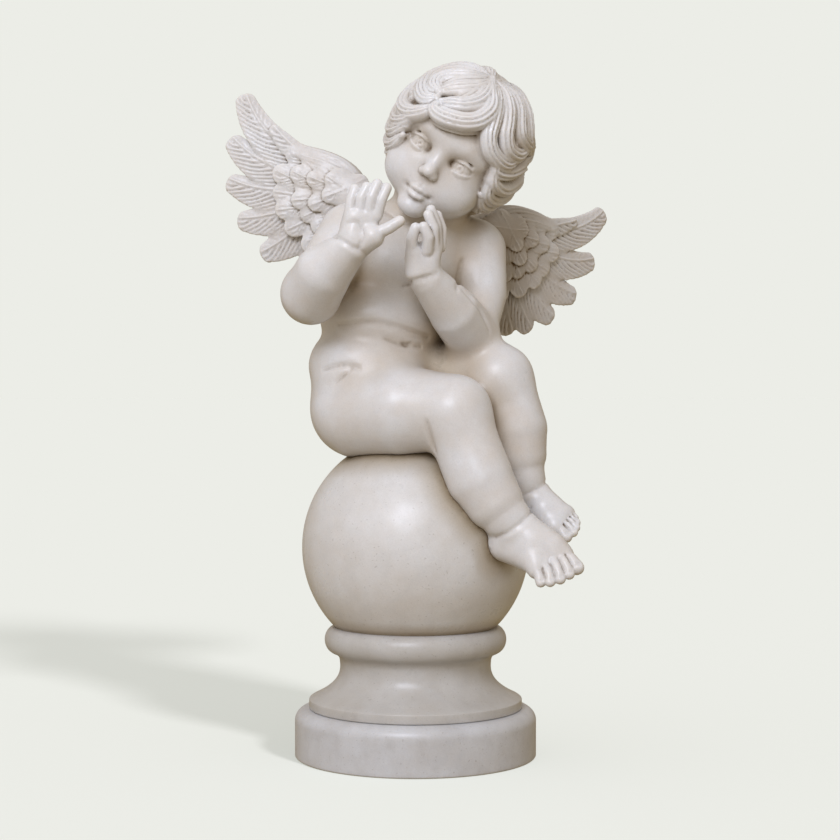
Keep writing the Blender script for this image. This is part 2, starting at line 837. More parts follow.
class CombedEgg(Egg):
    """An ellipsoid with fine wavy strands that run out from a pole."""

    count = 88
    depth = 1.7

    def __init__(self, centre: Point, radii: Point, turn: np.ndarray, pole: np.ndarray) -> None:
        """Takes the ellipsoid and the direction of its pole.

        Args:
            centre: The middle, in mm.
            radii: The three half-sizes, in mm.
            turn: The matrix that turns its axes, or none.
            pole: The direction that the strands run out from.
        """
        super().__init__(centre, radii, turn)
        self.pole = unit(pole)
        self.first = unit(np.cross(self.pole, [0.3, 1.0, 0.2]))
        self.second = np.cross(self.pole, self.first)

    def distance(self, x: np.ndarray, y: np.ndarray, z: np.ndarray) -> np.ndarray:
        """Returns the distance to the combed surface.

        Args:
            x: How far across each point lies, in mm.
            y: How far back each point lies, in mm.
            z: How high each point lies, in mm.

        Returns:
            One distance for each point, in mm.
        """
        plain = super().distance(x, y, z)
        dx, dy, dz = x - self.centre[0], y - self.centre[1], z - self.centre[2]
        along, a, b = (dx * v[0] + dy * v[1] + dz * v[2] for v in (self.pole, self.first, self.second))
        away = np.arctan2(np.sqrt(a * a + b * b), along)
        u = 0.5 * self.count * (np.arctan2(b, a) + 0.17 * np.sin(4.6 * away))
        crest = np.sqrt(np.sin(u) ** 2 + 0.02)
        return plain + self.depth * (1.01 - crest) * np.clip(away / 0.5, 0, 1)


@dataclass(frozen=True)
class Head:
    """The head: its own axes have x to the left ear, y to the nape and z to the crown."""

    centre: Point = (50, -18, 706)
    tilt: float = 34
    yaw: float = -6
    nod: float = 12
    skull: Point = (68, 80, 74)
    eye: Point = (26, -58.5, -15)
    eye_radius: float = 14.2
    lids: tuple[Point, ...] = ((1, 22, 3.0), (-1, 21, 2.2))  # up or down, opening in degrees, thickness

    @property
    def turn(self) -> np.ndarray:
        """Returns the matrix from the head's axes to the figure's."""
        return turn_about(1, self.tilt) @ turn_about(2, self.yaw) @ turn_about(0, self.nod)

    def at(self, x: float, y: float, z: float) -> Point:
        """Returns a place of the head in the figure's axes."""
        return tuple(np.array(self.centre) + self.turn @ np.array([x, y, z], float))

    def egg(self, centre: Point, radii: Point, turn: np.ndarray | None = None) -> Egg:
        """Returns an ellipsoid in the head's axes."""
        return Egg(self.at(*centre), radii, self.turn if turn is None else self.turn @ turn)

    def limb(self, *balls: Ball) -> Limb:
        """Returns a limb in the head's axes."""
        return Limb(*[(*self.at(*b[:3]), b[3]) for b in balls])

    def press(self, clay: Clay) -> None:
        """Adds the skull, then each side and the middle of a calm child's face.

        Args:
            clay: The clay that is worked on.
        """
        clay.add(self.egg((0, 0, 0), self.skull), 10)
        clay.add(self.egg((0, -22, 12), (56, 57, 46)), 14)
        clay.add(self.egg((0, -20, -37), (54, 52, 51)), 20)
        clay.add(self.egg((0, -58, -57), (23, 18, 18)), 14)
        clay.add(self.egg((0, -60, -81), (17, 15, 12)), 12)
        for s in (-1, 1):
            clay.add(self.egg((29 * s, -46, -46), (27, 25, 26)), 16)
            clay.cut(self.egg((24 * s, -88, -14), (17, 13, 9)), 16)
        clay.add(self.limb((0, -69, -2, 6.5), (0, -75, -18, 5.2), (0, -81.5, -31, 5.8)), 10)
        clay.add(self.egg((0, -84.5, -35.5), (6.8, 6.4, 6)), 6)
        for s in (-1, 1):
            clay.add(self.egg((6.8 * s, -79.5, -38.5), (4.6, 5.6, 4.2)), 3.5)
            clay.cut(self.egg((3.6 * s, -83, -42), (1.8, 2.6, 1.5)), 1.5)
            self.press_eye(clay, s)
            self.press_ear(clay, s)
        self.press_mouth(clay)

    def press_eye(self, clay: Clay, s: int) -> None:
        """Sets an eyeball into its socket, with two lids, the fold above them, an iris and a brow.

        Args:
            clay: The clay that is worked on.
            s: The side of the head: 1 for its left, -1 for its right.
        """
        clay.add(self.limb((9 * s, -73, 1, 3), (24 * s, -73, 7, 4), (42 * s, -62, 1, 3)), 14)
        ball, radius = (self.eye[0] * s, *self.eye[1:]), self.eye_radius
        clay.cut(self.egg((ball[0], ball[1] - 12, ball[2]), (13, 8, 7)), 6)
        clay.add(self.egg(ball, (radius, radius, radius)), 0.6)
        gaze = np.array([0.06 * s, -1, -0.04]) / np.linalg.norm([0.06, 1, 0.04])
        middle = np.array(ball) + gaze * (radius - 0.9)
        clay.cut(Ring(self.at(*middle), tuple(self.turn @ gaze), 5.4, 1.2), 1.0)
        clay.cut(self.egg(tuple(np.array(ball) + gaze * radius), (2.5, 2.0, 2.5)), 1.2)
        for up, opening, thickness in self.lids:
            a = math.radians(opening)
            normal = self.turn @ turn_about(1, -4 * s) @ np.array([0, math.sin(a), up * math.cos(a)])
            clay.add(Lid(self.at(*ball), radius + thickness, normal), 1.2)
        fold = []
        reach = radius + 3.0
        for out, rise in ((-46, 27), (-30, 38), (-4, 45), (26, 42), (46, 30)):
            o, r = math.radians(out), math.radians(rise)
            across = ball[0] + s * reach * math.sin(o) * math.cos(r)
            back = ball[1] - reach * math.cos(o) * math.cos(r)
            fold.append((across, back, ball[2] + reach * math.sin(r)))
        clay.cut(self.limb(*[(*p, 0.9) for p in smooth_path(np.array(fold), 5)]), 3)

    def press_ear(self, clay: Clay, s: int) -> None:
        """Adds an ear with a rim, a bowl and a lobe.

        Args:
            clay: The clay that is worked on.
            s: The side of the head: 1 for its left, -1 for its right.
        """
        clay.add(self.egg((64 * s, 4, -26), (8, 13, 19)), 4)
        clay.cut(self.egg((74 * s, 1, -26), (6, 8, 12)), 3)
        rim = ((68, -9, -24), (70, -8, -12), (71, 3, -6), (71, 13, -12), (71, 16, -25), (69, 10, -38))
        path = smooth_path(np.array([(x * s, y, z) for x, y, z in rim]), 4)
        clay.add(self.limb(*[(*p, 3.4) for p in path]), 2)
        inner = ((68, 5, -14), (69, 8, -22), (69, 6, -32), (68, 0, -38))
        path = smooth_path(np.array([(x * s, y, z) for x, y, z in inner]), 4)
        clay.add(self.limb(*[(*p, 2.2) for p in path]), 2)
        clay.add(self.egg((68 * s, 1, -43), (5, 6.5, 6.5)), 3)

    def press_mouth(self, clay: Clay) -> None:
        """Adds soft bowed lips, parts them with a line and hollows the skin round them.

        Args:
            clay: The clay that is worked on.
        """
        clay.cut(self.limb((0, -79.5, -46.5, 0.8), (0, -79.8, -53, 1.2)), 5)
        upper = (
            (-13, -70, -61.6, 1.4), (-7.5, -75, -59.4, 2.8), (-2.6, -77.4, -58, 3.3), (0, -77.2, -58.8, 3.1)
        )
        lower = ((-10.5, -71, -64.6, 1.8), (-5.5, -75, -66.6, 3.6), (0, -76.2, -67.4, 4.2))
        parting = ((-14, -71.5, -62.4, 0.6), (-7, -77.6, -62.2, 1.0), (0, -80, -63, 1.1))
        clay.add(self.limb(*mirrored(upper)), 2.5)
        clay.add(self.limb(*mirrored(lower)), 2.5)
        clay.cut(self.limb(*mirrored(parting)), 1.4)
        for s in (-1, 1):
            clay.cut(self.egg((16 * s, -74, -62.6), (2.4, 2.4, 2.2)), 6)
        clay.cut(self.limb(*mirrored(((-6, -77, -74, 1.6), (0, -78.6, -74.4, 2.2)))), 6)


@dataclass(frozen=True)
class Fall:
    """A lock's path over the skull, as (turn from the face, rise) in degrees, with its size in mm."""

    path: tuple[Pair, ...]
    width: float
    height: float
    lift: float


@dataclass(frozen=True)
class Hair:
    """Short wavy hair that falls in locks from the crown, with a long forelock swept across the brow."""

    head: Head
    crown: Pair = (-6, 70)
    side_share: float = 0.72
    sink: float = 3.2
    bed_lift: float = -8
    bed_height: float = 6
    bed_spread: float = 1.15
    back_columns: int = 8
    back_step: float = 16.5

    def falls(self) -> list[Fall]:
        """Returns the locks of the brow and the sides, then three rows round the back.

        Returns:
            The locks, in the order in which they are laid.
        """
        c = self.crown
        made = [
            Fall((c, (-20, 56), (-32, 45), (-38, 33)), 24, 8, 16),
            Fall((c, (2, 50), (-2, 38), (-12, 28)), 16, 8, 16),
            Fall(((-90, 46), (-76, 27), (-60, 13)), 16, 8, 16),
            Fall((c, (-66, 72), (-98, 46), (-92, 20), (-84, -6)), 24, 6, 7),
            Fall(((-92, -26), (-74, -34), (-58, -32), (-47, -27)), 7, 8, 13),
            Fall(((-98, -10), (-82, -22), (-64, -26), (-49, -22), (-42, -14)), 7.5, 9, 15),
            Fall(((-104, 6), (-88, -7), (-72, -16), (-54, -14), (-42, -6)), 8.5, 10, 15),
            Fall(((-108, 24), (-92, 8), (-80, -3), (-60, -7), (-45, -2), (-38, 5)), 9, 10, 16),
            Fall(((-110, 44), (-94, 28), (-80, 12), (-62, 4), (-44, 4), (-32, 10), (-27, 17)), 10, 11, 17),
            Fall((c, (-80, 80), (-124, 66), (-114, 50), (-100, 38)), 12, 10, 15),
            Fall(
                (c, (-50, 68), (-76, 58), (-84, 44), (-74, 31), (-56, 23), (-40, 20), (-32, 24)), 13, 10, 17
            ),
            Fall((c, (-29, 57), (-43, 47), (-50, 37), (-44, 30), (-34, 29)), 12, 10, 18),
            Fall((c, (-8, 53), (-17, 45), (-27, 38), (-35, 30)), 11, 9, 16),
            Fall((c, (6, 51), (3, 40), (-5, 32), (-15, 27), (-25, 22)), 10, 10, 17),
            Fall(
                (c, (13, 52), (19, 40), (15, 29), (6, 22), (-6, 18), (-16, 16), (-23, 17), (-24, 23)),
                11,
                11,
                18,
            ),
            Fall(
                (c, (19, 57), (25, 44), (27, 32), (29, 22), (36, 14), (47, 10), (58, 10), (68, 15)),
                10,
                10,
                16,
            ),
            Fall((c, (31, 62), (40, 49), (42, 37), (44, 28), (52, 20), (66, 19), (80, 24)), 11, 10, 17),
            Fall((c, (50, 68), (60, 54), (60, 42), (64, 34), (78, 29), (92, 28)), 11, 10, 16),
            Fall((c, (90, 74), (88, 57), (82, 45), (82, 35), (94, 28), (108, 30)), 12, 10, 16),
            Fall((c, (124, 72), (112, 55), (105, 42), (108, 30), (122, 26)), 13, 8, 14),
            Fall(((62, 27), (80, 31), (97, 27), (100, 19), (86, 15)), 8, 8, 16),
            Fall((c, (40, 52), (64, 30), (78, 4), (88, -20)), 26, 6, 9),
            Fall(((46, 9), (52, 2), (66, 4), (84, 11), (98, 12)), 8, 9, 15),
            Fall(((48, 2), (57, -7), (76, -8), (94, -2), (100, 6)), 8.5, 10, 16),
            Fall(((52, -8), (61, -17), (80, -19), (97, -13), (101, -4)), 8.5, 10, 15),
            Fall(((56, -21), (70, -27), (88, -27), (100, -20)), 8, 9, 13),
            Fall(((68, -30), (82, -35), (98, -32), (103, -24)), 8, 7, 11),
            Fall(((93, -34), (105, -41), (99, -49)), 9, 7, 10),
            Fall(((104, 16), (112, 1), (105, -13), (113, -30)), 13, 8, 13),
            Fall(((116, 26), (124, 8), (116, -8), (126, -24)), 14, 8, 13),
        ]
        for i in range(self.back_columns):
            t = 122 + self.back_step * i
            made.append(Fall((c, (t - 10, 66), (t - 2, 40), (t + 8, 16), (t + 1, -6)), 15, 8, 15))
            made.append(Fall(((t - 4, 26), (t + 4, 6), (t - 4, -16), (t + 6, -28)), 14, 8, 14))
            made.append(Fall(((t + 6, -8), (t + 13, -24), (t + 3, -38)), 13, 7, 12))
        return made

    def over_skull(self, turn: float, rise: float, lift: float) -> np.ndarray:
        """Returns a place in the head's axes, a lift above the skull.

        Args:
            turn: Degrees round from the face, towards the left ear.
            rise: Degrees above level.
            lift: How far above the skull it lies, in mm.

        Returns:
            The place, in mm.
        """
        rx, ry, rz = self.head.skull
        t, r = math.radians(turn), math.radians(rise)
        across = (rx + self.side_share * lift) * math.sin(t) * math.cos(r)
        back = -(ry + lift) * math.cos(t) * math.cos(r)
        return np.array([across, back, (rz + lift) * math.sin(r)])

    def press(self, clay: Clay) -> None:
        """Adds the cap, then each lock over a broader bed that closes the gaps beside it.

        Args:
            clay: The clay that is worked on.
        """
        rx, ry, rz = self.head.skull
        pole = self.head.turn @ self.over_skull(*self.crown, 0)
        clay.add(CombedEgg(self.head.at(-4, 12, 12), (rx + 6, ry + 4, rz + 5), self.head.turn, pole), 4)
        for i, fall in enumerate(self.falls()):
            bed = Fall(fall.path, self.bed_spread * fall.width, self.bed_height, fall.lift + self.bed_lift)
            self.press_lock(clay, bed, i + 0.5)
            self.press_lock(clay, fall, i)

    def press_lock(self, clay: Clay, fall: Fall, index: float) -> None:
        """Adds one lock: it starts thin, swells and ends in a rounded tip.

        Args:
            clay: The clay that is worked on.
            fall: The lock's path and sizes.
            index: A number that sets its waves apart from its neighbours'.
        """
        corners = np.array([self.over_skull(t, r, fall.lift - self.sink) for t, r in fall.path])
        centre, turn = np.array(self.head.centre), self.head.turn
        at = smooth_path(corners, 7)
        s = np.linspace(0, 1, len(at))
        start = 0.3 + 0.7 * np.sin(0.5 * math.pi * np.clip(s / 0.32, 0, 1))
        end = np.sqrt(1 - 0.82 * np.clip((s - 0.66) / 0.34, 0, 1) ** 2)
        swell = start * end
        out = unit(at / np.array(self.head.skull) ** 2)
        ahead = unit(np.gradient(at, axis=0))
        side = unit(np.cross(ahead, out))
        width, height = fall.width * swell, fall.height * (0.35 + 0.65 * swell)
        blade = LockBlade(at @ turn.T + centre, side @ turn.T, out @ turn.T, width, height, 6)
        blade.phase = 1.7 * index
        clay.add(blade, 1.6)


# ---- The wings ----------------------------------------------------------------------------------


@dataclass(frozen=True)
class Wing:
    """A feathered wing: it reaches outward and its depth is measured towards the front."""

    side: Side
    root: Point
    heading: float
    hang: float
    size: float
    flight: int
    last: float
    bunching: float

    @property
    def turn(self) -> np.ndarray:
        """Returns the matrix from the wing's axes to the figure's."""
        return turn_about(2, self.heading) @ turn_about(1, self.side.value * self.hang)

    def at(self, reach: float, angle: float, depth: float) -> np.ndarray:
        """Returns a place on the wing's curved sheet, from a reach and an angle above level."""
        a = math.radians(angle)
        return self.flat(self.size * reach * math.cos(a), self.size * reach * math.sin(a), depth)

    def flat(self, span: float, lift: float, depth: float) -> np.ndarray:
        """Returns a place on the wing's curved sheet, from a span outward and a lift upward."""
        curl = 0.0009 * (span * span + 0.6 * lift * lift)
        return self.turn @ np.array([self.side.value * span, curl - depth, lift]) + np.array(self.root)

    def press(self, clay: Clay) -> None:
        """Adds the flight feathers, the rows that cover their quills, and the rolled leading edge.

        Args:
            clay: The clay that is worked on.
        """
        for i in range(self.flight):
            s = i / (self.flight - 1)
            tip = lerp(42, self.last, 1 - (1 - s) ** self.bunching)
            self.press_feather(
                clay, tip, 4 + 10 * (1 - s), 36, 160 * (1 - 0.3 * s**0.65), 21, -1.6 * i, 4.5
            )
        rows = (
            (6, 36, -58, 34, 72, 15, 6),
            (6, 36, -52, 14, 50, 13.5, 11),
            (5, 34, -46, -4, 31, 12.5, 16),
            (4, 52, -20, -16, 14, 12, 21),
        )
        for count, first, last, start, end, width, depth in rows:
            for face in (1, -1):
                for i in range(count):
                    tip = lerp(first, last, i / (count - 1)) + 3.5 * math.sin(5.1 * i + depth)
                    lower = 0 if face > 0 else 1.6 * self.flight * i / (count - 1)
                    reach = end + 5 * (i % 2) + 2.5 * math.sin(3.7 * i + depth)
                    above = face * (depth + 1.6 * (i % 2)) - lower
                    self.press_feather(clay, tip, 4, start, reach, width, above, 3.8, True)
        self.press_feather(clay, 40, 4, 46, 108, 12, 4, 4.0)
        edge = ((-10, -12, 18), (-5, 13, 15), (11, 28, 13), (32, 38, 10.5), (52, 44, 7))
        path = smooth_path(np.array(edge, float), 4)
        balls = [(*self.flat(self.size * span, self.size * lift, 2), radius) for span, lift, radius in path]
        clay.add(Limb(*balls), 5)
        bands = (
            (((-2, -18, 20), (-1, 4, 17), (10, 20, 15), (30, 32, 12.5), (58, 42, 9)), 8.0),
            (((-14, -12, 18), (-11, 12, 15), (3, 28, 13), (24, 39, 11), (48, 48, 7)), 7.0),
            (((8, -10, 18), (12, 6, 16), (24, 18, 13.5), (44, 29, 11)), 7.0),
        )
        for path, width in bands:
            line = smooth_path(np.array(path, float), 6)
            at = np.array([self.flat(self.size * u, self.size * v, depth) for u, v, depth in line])
            out = np.broadcast_to(self.turn @ np.array([-0.2 * self.side.value, -0.96, 0.1]), at.shape)
            ahead = np.gradient(at, axis=0)
            side = unit(np.cross(ahead, out))
            swell = np.sqrt(np.sin(math.pi * np.linspace(0.12, 0.95, len(at))))
            blade = LockBlade(at, side, unit(np.cross(side, ahead)), width * swell, 6 * swell, 6)
            blade.depth = 1.8
            clay.add(blade, 2.5)
        clay.add(Limb((*self.root, 20), (-10 + 14 * self.side.value, 30, 596, 28)), 14)

    def press_feather(
        self,
        clay: Clay,
        tip: float,
        sweep: float,
        start: float,
        end: float,
        width: float,
        depth: float,
        height: float,
        short: bool = False,
    ) -> None:
        """Adds one feather that points at an angle and starts swept back from it.

        Args:
            clay: What it is added to.
            tip: The angle of its tip above level, in degrees.
            sweep: How many degrees lower it starts.
            start: Its reach at the start, in mm.
            end: Its reach at the tip, in mm.
            width: Half its breadth.
            depth: How far in front of the wing's sheet it lies.
            height: Half its thickness.
            short: Whether it is a short covert with a broad round end.
        """
        steps = 12
        s = np.linspace(0, 1, steps + 1)
        at = np.array([self.at(lerp(start, end, t), tip - sweep * (1 - t * t), depth) for t in s])
        narrow = 0.12 if short else 0.4
        swell = np.minimum(0.75 + 0.6 * s, 1) * (1 - narrow * np.clip((s - 0.5) / 0.5, 0, 1) ** 2)
        out = np.broadcast_to(self.turn @ np.array([0, -1.0, 0]), at.shape)
        side = -self.side.value * unit(np.cross(np.gradient(at, axis=0), out))
        out = unit(np.cross(side, np.gradient(at, axis=0)))
        end_length = 0.9 * width if short else 9
        thickness = height * np.ones(len(at))
        blade = FeatherBlade(at, side, out, self.size * width * swell, thickness, end_length)
        if short:
            blade.barb_spacing, blade.barb_depth, blade.quill, blade.bias = 6.4, 1.6, 0.9, 0.0
        clay.add(blade, 1.0)


# ---- The pieces ---------------------------------------------------------------------------------


@dataclass
class Cherub:
    """The carved figure, which sits on the ball with its wings spread."""

    seat: Point = (0, 0, 242.7)
    seat_radius: float = 131.8
    most_triangles: int = 194000
    rim: float = 151  # the socle's upper edge, round which dirt gathers on the ball
    under_seat: float = 200  # above this height the ball is soiled by what sits on it
    weathered_from: float = 25
    weathered_over: float = 45
    weathered_middle: float = 108
    weathered_reach: float = 38
    trunk: Trunk = Trunk()
    head: Head = Head()
    arms: tuple[Arm, ...] = (
        Arm(
            ((-76, -26, 604, 34), (-98, -60, 566, 31), (-116, -92, 534, 31)),
            ((-116, -94, 530, 33), (-101, -121, 553, 31.5), (-70, -146, 580, 20)),
        ),
        Arm(
            ((72, 28, 588, 34), (75, 7, 536, 31), (66, -18, 492, 27)),
            ((67, -22, 483, 31), (44, -62, 512, 29), (14, -96, 546, 20)),
        ),
    )
    legs: tuple[Leg, ...] = (
        Leg(
            ((-66, -26, 402, 54), (-16, -58, 402, 52), (42, -86, 400, 41)),
            (
                (43, -87, 398, 40),
                (59, -94, 358, 37),
                (71, -100, 327, 37.5),
                (86, -103, 302, 33),
                (98, -105, 286, 27),
            ),
            ((98, -105, 287, 25), (109, -107, 273, 23)),
        ),
        Leg(
            ((-30, 44, 400, 56), (40, 8, 424, 50), (95, -28, 437, 38)),
            (
                (96, -30, 437, 37),
                (106, -33, 408, 36),
                (113, -36, 380, 37.5),
                (116, -38, 352, 33.5),
                (121, -40, 328, 26),
            ),
            ((122, -41, 328, 23), (127, -41, 314, 21)),
        ),
    )
    feet: tuple[Foot, ...] = (
        Foot(
            (96, -90, 258, 20),
            (127, -114, 254, 20),
            (
                ((162, -124, 243), (176, -136, 231), 8.8),
                ((158, -130, 243), (167, -143, 225), 7.0),
                ((150, -134, 238), (157, -147, 220), 6.8),
                ((142, -136, 232), (146, -148, 217), 6.5),
                ((132, -136, 227), (136, -145, 216), 6.2),
            ),
            (((116, -108, 270, 21), (150, -121, 254, 15)), ((102, -100, 252, 18), (132, -128, 236, 13))),
        ),
        Foot(
            (128, -26, 296, 19),
            (146, -52, 288, 16),
            (
                ((158, -66, 270), (169, -76, 260), 7.6),
                ((166, -66, 274), (177, -76, 265), 5.9),
                ((170, -63, 278), (180, -72, 270), 5.7),
                ((172, -59, 281), (181, -67, 275), 5.5),
                ((172, -54, 284), (180, -61, 280), 4.8),
            ),
            (((136, -40, 304, 18), (164, -58, 284, 12)), ((134, -38, 288, 17), (156, -62, 272, 11))),
        ),
    )
    hands: tuple[Hand, ...] = (
        Hand(
            ((-61, -152, 600), (20, 12, 22), -6),
            (
                ((-69, -153, 586, 13), (-66, -155, 610, 11)),
                ((-56, -153, 584, 13), (-46, -158, 590, 13)),
                ((-66, -154, 613, 9), (-46, -155, 613, 9)),
            ),
            (
                (6.0, ((-71, -156, 613), (-69, -158, 629), (-65, -157, 641))),
                (6.2, ((-61, -157, 614), (-58, -160, 631), (-52, -159, 643))),
                (6.3, ((-51, -157, 614), (-47, -161, 632), (-41, -159, 646))),
                (6.2, ((-42, -157, 612), (-37, -160, 629), (-31, -158, 642))),
                (6.6, ((-44, -160, 592), (-28, -163, 599), (-17, -163, 606))),
            ),
        ),
        Hand(
            ((6, -104, 564), (16, 15, 25), 30),
            (((2, -108, 556, 14), (-2, -114, 576, 10)), ((12, -104, 556, 14), (19, -106, 580, 11))),
            (
                (6.4, ((-4, -116, 577), (-4, -122, 590), (0, -124, 602))),
                (6.2, ((13, -117, 578), (14, -124, 592), (9, -126, 603))),
                (6.0, ((20, -112, 583), (20, -117, 602), (14, -118, 617))),
                (6.0, ((24, -104, 584), (23, -108, 606), (17, -110, 623))),
                (5.8, ((28, -96, 583), (29, -98, 603), (24, -100, 618))),
            ),
        ),
    )
    wings: tuple[Wing, ...] = (
        Wing(Side.RIGHT, (-83, 60, 662), 4, 0, 1, 6, -64, 0.88),
        Wing(Side.LEFT, (100, 78, 616), 27, 33, 0.98, 8, -60, 1.6),
    )

    def sculpt(self, clay: Clay) -> None:
        """Builds the figure up in the clay, mass by mass, and then carves its creases.

        Args:
            clay: The clay that is worked on.
        """
        self.trunk.press(clay)
        for arm in self.arms:
            arm.press(clay)
        for leg in self.legs:
            leg.press(clay)
        self.trunk.carve(clay)
        for foot in self.feet:
            foot.press(clay)
        for hand in self.hands:
            hand.press(clay)
        LOG.info("body pressed")
        self.head.press(clay)
        Hair(self.head).press(clay)
        LOG.info("head pressed")
        for wing in self.wings:
            wing.press(clay)
        LOG.info("wings pressed")
        self.carve_limbs(clay)
        clay.cut(Egg(self.seat, (self.seat_radius,) * 3), 0.01)

    def carve_limbs(self, clay: Clay) -> None:
        """Cuts the plump folds at the wrists, elbows, knees and ankles.

        Args:
            clay: The clay that is worked on.
        """
        clay.crease([(-94, 592), (-84, 588), (-68, 578), (-52, 570)], 2.0, 4)
        clay.crease([(-14, 542), (4, 546), (24, 552)], 2.0, 4)
        clay.crease([(-74, 603), (-63, 604), (-57, 597), (-56, 587), (-61, 577)], 1.7, 4)
        clay.crease([(-92, 593), (-110, 582), (-138, 571)], 1.8, 4)
        clay.crease([(51, 538), (72, 515), (84, 491)], 1.8, 4)
        clay.crease([(12, 390), (16, 374), (22, 356)], 2.2, 5)
        clay.crease([(88, 262), (106, 272), (130, 292)], 1.8, 4)
        clay.crease([(120, 304), (134, 311), (150, 320)], 1.8, 4)

    def soil_below(self, ball: bpy.types.Object, clay: Clay) -> None:
        """Marks the places of the ball that lie close under the figure, where dirt gathers.

        Args:
            ball: The ball's object, in place.
            clay: The clay of the finished figure.
        """
        place = np.empty(len(ball.data.vertices) * 3)
        ball.data.vertices.foreach_get("co", place)
        gap = clay.sample(place.reshape(-1, 3) / MM)
        level = place.reshape(-1, 3)[:, 2] / MM
        over_rim = np.clip(2.2 * (level - self.rim), 1.0, FAR)
        near = np.where(level > self.under_seat, np.clip(gap, 0, FAR), over_rim)
        put_attribute(ball, "groove", 0.5 + 0.26 * np.exp(-((near / 2.5) ** 2)))
        put_attribute(ball, "hollow", 0.5 + 0.2 * np.exp(-((near / 9.0) ** 2)))
        put_attribute(ball, "shelter", 0.4 + 0.34 * np.clip(1 - near / 32, 0, 1))

    def build(self, clay: Clay) -> bpy.types.Object:
        """Returns the carved figure as one object, from empty clay.

        Args:
            clay: The clay that is worked on.

        Returns:
            The figure's object.
        """
        self.sculpt(clay)
        points, quads = clay.skin()
        LOG.info("skin of %d quads", len(quads))
        piece = mesh_object("carved_cherub", points, quads)
        fewer = piece.modifiers.new("fewer", "DECIMATE")
        fewer.ratio = min(1.0, self.most_triangles / (2 * len(quads)))
        apply_modifiers(piece)
        LOG.info("kept %d faces", len(piece.data.polygons))
        place = np.empty(len(piece.data.vertices) * 3)
        piece.data.vertices.foreach_get("co", place)
        place = place.reshape(-1, 3) / MM
        for name, radius in (("groove", 3.6), ("hollow", 11.0), ("shelter", 32.0)):
            fullness = clay.sample(place, clay.fullness(radius))
            put_attribute(piece, name, np.clip(fullness, 0, 1))
        behind = np.clip((place[:, 1] - self.weathered_from) / self.weathered_over, 0, 1)
        beside = np.exp(-(((place[:, 0] - self.weathered_middle) / self.weathered_reach) ** 2))
        put_attribute(piece, "weather", behind * (0.15 + 0.85 * beside))
        return piece


# ---- Meshes -------------------------------------------------------------------------------------


def mesh_object(name: str, points: np.ndarray, faces: np.ndarray) -> bpy.types.Object:
    """Makes a smooth-shaded object from points in mm and faces of equal length.

    Args:
        name: The name of the object and its mesh.
        points: Places in mm, one per row.
        faces: Corner numbers, one face per row.

    Returns:
        The object.
    """
    mesh = bpy.data.meshes.new(name)
    mesh.vertices.add(len(points))
    mesh.vertices.foreach_set("co", (np.asarray(points) * MM).astype(np.float32).ravel())
    size = faces.shape[1]
    mesh.loops.add(faces.size)
    mesh.loops.foreach_set("vertex_index", faces.astype(np.int32).ravel())
    mesh.polygons.add(len(faces))
    mesh.polygons.foreach_set("loop_start", np.arange(0, faces.size, size, dtype=np.int32))
    mesh.update(calc_edges=True)
    mesh.shade_smooth()
    made = bpy.data.objects.new(name, mesh)
    bpy.context.scene.collection.objects.link(made)
    return made


def apply_modifiers(piece: bpy.types.Object) -> None:
    """Replaces an object's mesh by what its modifiers make of it.

    Args:
        piece: The object.
    """
    graph = bpy.context.evaluated_depsgraph_get()
    graph.update()
    made = bpy.data.meshes.new_from_object(piece.evaluated_get(graph))
    old = piece.data
    piece.modifiers.clear()
    piece.data = made
    bpy.data.meshes.remove(old)


def put_attribute(piece: bpy.types.Object, name: str, values: np.ndarray) -> None:
    """Stores one number for each vertex under a name that a material can read."""
    layer = piece.data.attributes.new(name, "FLOAT", "POINT")
    layer.data.foreach_set("value", values.astype(np.float32))


@dataclass
class Turned:
    """A solid turned on a lathe about the upright axis, from a profile of (radius, height) in mm."""

    name: str
    sides: int = 240

    def profile(self) -> np.ndarray:
        """Returns the profile from the bottom centre to the top centre."""
        raise NotImplementedError

    def build(self) -> bpy.types.Object:
        """Returns the turned object.

        Returns:
            The object, closed by a fan of triangles at either end.
        """
        rows = self.profile()
        ring = rows[1:-1]
        angle = np.linspace(0, 2 * math.pi, self.sides, endpoint=False)
        x, y = np.outer(ring[:, 0], np.cos(angle)), np.outer(ring[:, 0], np.sin(angle))
        body = np.stack([x, y, np.repeat(ring[:, 1:], self.sides, 1)], -1).reshape(-1, 3)
        points = np.vstack([body, [[0, 0, rows[0, 1]], [0, 0, rows[-1, 1]]]])
        index = np.arange(len(ring) * self.sides).reshape(len(ring), self.sides)
        ahead = np.roll(index, -1, axis=1)
        quads = np.stack([index[:-1], ahead[:-1], ahead[1:], index[1:]], -1).reshape(-1, 4)
        low, high = len(body), len(body) + 1
        caps = [(low, b, a) for a, b in zip(index[0], ahead[0])]
        caps += [(high, a, b) for a, b in zip(index[-1], ahead[-1])]
        mesh = bpy.data.meshes.new(self.name)
        mesh.from_pydata((points * MM).tolist(), [], quads.tolist() + caps)
        mesh.shade_smooth()
        mesh.set_sharp_from_angle(angle=math.radians(35))
        made = bpy.data.objects.new(self.name, mesh)
        bpy.context.scene.collection.objects.link(made)
        return made


def arc(centre: Pair, radius: Pair, start: float, end: float, steps: int) -> list[Pair]:
    """Returns points of an ellipse's arc in (radius, height), from one angle to another in degrees.

    Args:
        centre: The ellipse's centre.
        radius: Its half-sizes along the two directions.
        start: The first angle.
        end: The last angle.
        steps: How many points.

    Returns:
        The points, in order.
    """
    made = []
    for a in np.radians(np.linspace(start, end, steps)):
        made.append((centre[0] + radius[0] * math.cos(a), centre[1] + radius[1] * math.sin(a)))
    return made


